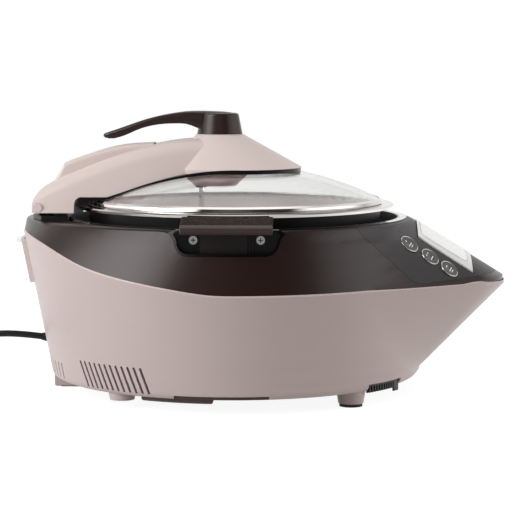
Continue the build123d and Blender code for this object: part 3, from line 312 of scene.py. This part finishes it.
coil_points = []
for i in range(1, round(COIL_TURNS * COIL_STEPS)):
    t = i / COIL_STEPS
    r, z = layer(t)
    angle = COIL_START + t * math.tau
    coil_points.append((COIL_CENTRE[0] + r * TURN_WIDEN * math.cos(angle),
                        COIL_CENTRE[1] + r * TURN_WIDEN * math.sin(angle), z))
tail_x = COIL_CENTRE[0] - LAYERS[-1][1]
CORD_TAIL = [(tail_x - 0.3, -38.0, 8.6), (tail_x, -52.0, 5.2), (tail_x, -66.0, 4.0), (tail_x, -80.5, 4.2)]


def cord_curve(name, points, diameter):
    """Round cable along a NURBS spline through control points in millimetres."""
    data = bpy.data.curves.new(name, "CURVE")
    data.dimensions = "3D"
    data.bevel_depth = diameter * MM / 2
    data.bevel_resolution = CORD_ROUND
    data.resolution_u = CORD_SMOOTH
    spline = data.splines.new("NURBS")
    spline.points.add(len(points) - 1)
    for point, p in zip(spline.points, points):
        point.co = (*at(*p), 1.0)
    spline.order_u = 3
    spline.use_endpoint_u = True
    thing = bpy.data.objects.new(name, data)
    bpy.context.collection.objects.link(thing)
    return thing


lead = cord_curve("mains_lead", CORD_ROUTE + coil_points + CORD_TAIL, CORD_D)
lead.data.materials.append(cord_black)
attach(lead, "base")
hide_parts("cord_tube", "cord_coil")

# Display: a pale glass field and its border, laid on the curved face of the silver lens
DISPLAY_X = 206.75
ABOVE_Z = 260.0
DOWN = Vector((0, 0, -1))
DRAPE_STEPS = (14, 40)


def surface_of(name):
    """Ray-casting tree of a node's mesh."""
    mesh = frame["nodes"][name].data
    return BVHTree.FromPolygons([v.co for v in mesh.vertices], [tuple(p.vertices) for p in mesh.polygons])


def drape(name, tree, half_x, half_y, corner, lift, mat):
    """Rounded rectangle, as seen from above, laid on a surface and raised by lift millimetres."""
    points, faces = [], []
    count_u, count_v = DRAPE_STEPS
    for i in range(count_u + 1):
        for j in range(count_v + 1):
            u = -1 + 2 * i / count_u
            v = -1 + 2 * j / count_v
            edge = max(0.0, half_y * abs(v) - (half_y - corner))
            shrink = corner - math.sqrt(max(0.0, corner ** 2 - edge ** 2))
            over = at(DISPLAY_X + u * (half_x - shrink), v * half_y, ABOVE_Z)
            hit, normal = tree.ray_cast(Vector(over), DOWN)[:2]
            points.append(tuple(hit + normal * lift * MM))
    for i in range(count_u):
        for j in range(count_v):
            a = i * (count_v + 1) + j
            faces.append((a, a + count_v + 1, a + count_v + 2, a + 1))
    piece(name, points, faces, "base", mat)


window = surface_of("display_window")
drape("display_field", window, half_x=22.4, half_y=42.6, corner=5.0, lift=0.12,
      mat=display_pale)
drape("display_line", window, half_x=23.2, half_y=43.6, corner=5.6, lift=0.06,
      mat=display_edge)

# Buttons: plated rim and plain marks on each dished face
BUTTON_SPOTS = ((170.9, 74.0, 150.0), (191.2, 68.6, 137.2), (210.0, 66.6, 125.3))
BUTTON_NORMAL = (0.54, 0.47, 0.698)
RIM_R = 9.35
RIM_T = 0.5
RIM_H = 0.62
FACE_H = 0.5
MARK_LIFT = 0.32
MARK_T = 0.5
TURN_STEPS = 48
TUBE_STEPS = 8
BAR_STEPS = 16


def button_place(spot, side):
    """Matrix of a button: x across the slope, z out of the panel, in metres."""
    nx, ny, nz = BUTTON_NORMAL
    z_axis = Vector((nx, side * ny, nz)).normalized()
    x_axis = Vector((nz, 0, -nx)).normalized()
    y_axis = z_axis.cross(x_axis)
    place = Matrix((x_axis, y_axis, z_axis)).transposed().to_4x4()
    place.translation = Vector(at(spot[0], side * spot[1], spot[2]))
    return place


def hoop(radius, tube, height):
    """Points and faces of a torus about z, in millimetres."""
    points, faces = [], []
    for i in range(TURN_STEPS):
        a = math.tau * i / TURN_STEPS
        for j in range(TUBE_STEPS):
            b = math.tau * j / TUBE_STEPS
            r = radius + tube * math.cos(b)
            points.append((r * math.cos(a), r * math.sin(a), height + tube * math.sin(b)))
            here, along = i * TUBE_STEPS, (i + 1) % TURN_STEPS * TUBE_STEPS
            faces.append((here + j, along + j, along + (j + 1) % TUBE_STEPS, here + (j + 1) % TUBE_STEPS))
    return points, faces


def bar(x, y, length, width, height):
    """Points and faces of a thin plate with rounded ends lying along y."""
    n = BAR_STEPS
    ring = []
    for i in range(n):
        a = math.tau * i / n
        end = math.copysign(length / 2, math.sin(a))
        ring.append((x + width / 2 * math.cos(a), y + end + width / 2 * math.sin(a)))
    points = [(px, py, height) for px, py in ring] + [(px, py, height - MARK_T) for px, py in ring]
    faces = [tuple(range(n))] + [(i, i + n, (i + 1) % n + n, (i + 1) % n) for i in range(n)]
    return points, faces


# Strokes of each button: place across and along, length and width
MARKS = (((-4.2, 0.0, 0.01, 2.0), (1.0, 0.0, 7.0, 1.0), (3.4, 0.0, 4.6, 0.9)),
         ((-3.8, -2.2, 0.01, 1.7), (-3.8, 2.2, 0.01, 1.7), (2.2, 0.0, 6.2, 1.0)),
         ((-3.6, 0.0, 3.0, 1.1), (1.2, 0.0, 7.0, 1.0), (3.6, 0.0, 4.4, 0.9)))
for side, tag in ((-1, "near"), (1, "far")):
    for i, spot in enumerate(BUTTON_SPOTS):
        place = button_place(spot, side)
        body = f"button_{tag}_{i + 1}_key"
        points, faces = hoop(RIM_R, RIM_T, RIM_H)
        points = [tuple(place @ (Vector(p) * MM)) for p in points]
        piece(f"button_rim_{tag}_{i + 1}", points, faces, body, bright_steel)
        points, faces = [], []
        for x, y, length, width in MARKS[i]:
            start = len(points)
            more, plates = bar(x, y, length, width, FACE_H + MARK_LIFT)
            points += [tuple(place @ (Vector(p) * MM)) for p in more]
            faces += [tuple(k + start for k in f) for f in plates]
        piece(f"button_marks_{tag}_{i + 1}", points, faces, body, mark_white, soft=False)

# Stage: floor, world and lamps
FLOOR_HALF = 30.0
floor_mesh = bpy.data.meshes.new("floor")
corners = [(i * FLOOR_HALF, j * FLOOR_HALF, 0) for i, j in ((-1, -1), (1, -1), (1, 1), (-1, 1))]
floor_mesh.from_pydata(corners, [], [(0, 1, 2, 3)])
floor = bpy.data.objects.new("floor", floor_mesh)
bpy.context.collection.objects.link(floor)


def feed(links, socket, value):
    """Give a socket a number or the value of another socket."""
    if isinstance(value, float):
        socket.default_value = value
    else:
        links.new(value, socket)


def reckon(nodes, links, operation, first, second):
    """Output of an operation on two values, each a number or a socket."""
    n = nodes.new("ShaderNodeMath")
    n.operation = operation
    feed(links, n.inputs[0], first)
    feed(links, n.inputs[1], second)
    return n.outputs[0]


def any_of(nodes, links, outputs):
    """Output that is 1 where any of a light path's outputs is 1."""
    value = outputs[0]
    for other in outputs[1:]:
        value = reckon(nodes, links, "MAXIMUM", value, other)
    return value


def blend(nodes, links, share, first, second):
    """Shader that is the first where share is 0 and the second where it is 1."""
    n = nodes.new("ShaderNodeMixShader")
    for socket, value in zip(n.inputs, (share, first, second)):
        links.new(value, socket)
    return n.outputs[0]


def matt_grey(nodes, tone):
    """Diffuse shader of an even grey."""
    n = nodes.new("ShaderNodeBsdfDiffuse")
    n.inputs["Color"].default_value = (tone, tone, tone, 1)
    return n.outputs[0]


# The floor lights the object as a grey surface. Seen or mirrored, it is near white with a faint shadow.
FLOOR_TONE = 0.6
FLOOR_WHITE = 0.91
FLOOR_SHARE = 0.3
# Mirrored, it is darker in front of the object than behind it: Y of both ends, and the share left in front
MIRROR_NEAR = -0.55
MIRROR_FAR = 0.0
MIRROR_LEAST = 0.12
floor_mat = bpy.data.materials.new("floor")
floor_mat.use_nodes = True
nodes, links = floor_mat.node_tree.nodes, floor_mat.node_tree.links
nodes.remove(nodes["Principled BSDF"])
out = nodes["Material Output"]
path = nodes.new("ShaderNodeLightPath")
ways = ("Is Camera Ray", "Is Glossy Ray", "Is Transmission Ray")
seen = any_of(nodes, links, [path.outputs[way] for way in ways])
where = nodes.new("ShaderNodeNewGeometry")
split = nodes.new("ShaderNodeSeparateXYZ")
links.new(where.outputs["Position"], split.inputs[0])
fade = nodes.new("ShaderNodeMapRange")
fade.inputs["From Min"].default_value = MIRROR_NEAR
fade.inputs["From Max"].default_value = MIRROR_FAR
fade.inputs["To Min"].default_value = MIRROR_LEAST
links.new(split.outputs["Y"], fade.inputs["Value"])
level = nodes.new("ShaderNodeMix")
level.inputs["A"].default_value = 1.0
links.new(path.outputs["Is Glossy Ray"], level.inputs["Factor"])
links.new(fade.outputs["Result"], level.inputs["B"])
glow = nodes.new("ShaderNodeEmission")
glow.inputs["Color"].default_value = (1, 1, 1, 1)
glow_level = reckon(nodes, links, "MULTIPLY", level.outputs["Result"], FLOOR_WHITE)
links.new(glow_level, glow.inputs["Strength"])
both = nodes.new("ShaderNodeAddShader")
links.new(matt_grey(nodes, FLOOR_SHARE), both.inputs[0])
links.new(glow.outputs[0], both.inputs[1])
floor_look = blend(nodes, links, seen, matt_grey(nodes, FLOOR_TONE), both.outputs[0])
links.new(floor_look, out.inputs["Surface"])
floor.data.materials.append(floor_mat)

AMBIENT = 0.31
# What polished surfaces mirror: FRONT_GLOW all round, and on it soft bright fields, each with its direction,
# inner and outer angle in degrees, and strength
BACK_GLOW = 0.9
FRONT_GLOW = 0.04
FIELDS = (
    ((-0.71, -0.40, 0.58), 5, 29, 6.0),
    ((0.84, -0.02, 0.54), 10, 33, 0.6),
    ((-0.98, -0.17, 0.08), 28, 54, 1.3),
    ((0.97, -0.1, 0.08), 24, 44, 1.0),
    ((0.0, 0.35, 0.94), 5, 25, 1.0),
    ((0.0, -1.0, 0.08), 8, 38, 0.3),
    ((0, 1, 0.1), 35, 72, BACK_GLOW - FRONT_GLOW),
)

world = bpy.data.worlds.new("world")
bpy.context.scene.world = world
world.use_nodes = True
nodes, links = world.node_tree.nodes, world.node_tree.links
nodes.clear()
out = nodes.new("ShaderNodeOutputWorld")
path = nodes.new("ShaderNodeLightPath")
where = nodes.new("ShaderNodeTexCoord")


def background(strength):
    """White background of a given strength, a number or a socket."""
    n = nodes.new("ShaderNodeBackground")
    n.inputs["Color"].default_value = (1, 1, 1, 1)
    feed(links, n.inputs["Strength"], strength)
    return n.outputs[0]


def field(direction, inner, outer, strength):
    """Strength that fades from inner to outer degrees around a direction."""
    dot = nodes.new("ShaderNodeVectorMath")
    dot.operation = "DOT_PRODUCT"
    links.new(where.outputs["Generated"], dot.inputs[0])
    dot.inputs[1].default_value = Vector(direction).normalized()
    fade = nodes.new("ShaderNodeMapRange")
    fade.interpolation_type = "SMOOTHSTEP"
    fade.inputs["From Min"].default_value = math.cos(math.radians(outer))
    fade.inputs["From Max"].default_value = math.cos(math.radians(inner))
    fade.inputs["To Max"].default_value = strength
    links.new(dot.outputs["Value"], fade.inputs["Value"])
    return fade.outputs["Result"]


mirrored = FRONT_GLOW
for parts in FIELDS:
    mirrored = reckon(nodes, links, "ADD", mirrored, field(*parts))
seen = any_of(nodes, links, [path.outputs["Is Camera Ray"], path.outputs["Is Transmission Ray"]])
shine = blend(nodes, links, path.outputs["Is Glossy Ray"], background(AMBIENT), background(mirrored))
sky = blend(nodes, links, seen, shine, background(1.0))
links.new(sky, out.inputs["Surface"])


def softbox(name, place, target, wide, tall, watts, tint=(1, 1, 1)):
    """Large lamp that lights without showing in polished surfaces."""
    data = bpy.data.lights.new(name, "AREA")
    data.shape = "RECTANGLE"
    data.size = wide
    data.size_y = tall
    data.energy = watts
    data.color = tint
    lamp = bpy.data.objects.new(name, data)
    lamp.location = place
    aim = [b - a for a, b in zip(place, target)]
    flat = math.hypot(aim[0], aim[1])
    lamp.rotation_euler = (math.atan2(flat, -aim[2]), 0, math.atan2(-aim[0], aim[1]))
    lamp.visible_glossy = False
    bpy.context.collection.objects.link(lamp)


softbox("lamp_left", place=(-1.6, -1.0, 0.8), target=(-0.1, 0, 0.15), wide=1.2, tall=1.2,
        watts=32, tint=(0.97, 0.99, 1.03))
softbox("lamp_top", place=(0.2, -0.4, 1.9), target=(0.05, 0, 0.1), wide=1.6, tall=1.2, watts=13)
softbox("lamp_right", place=(1.9, 0.05, 0.5), target=(0.2, 0, 0.12), wide=0.8, tall=1.0, watts=14)

bpy.context.scene.view_settings.view_transform = "Standard"

bpy.context.view_layer.update()
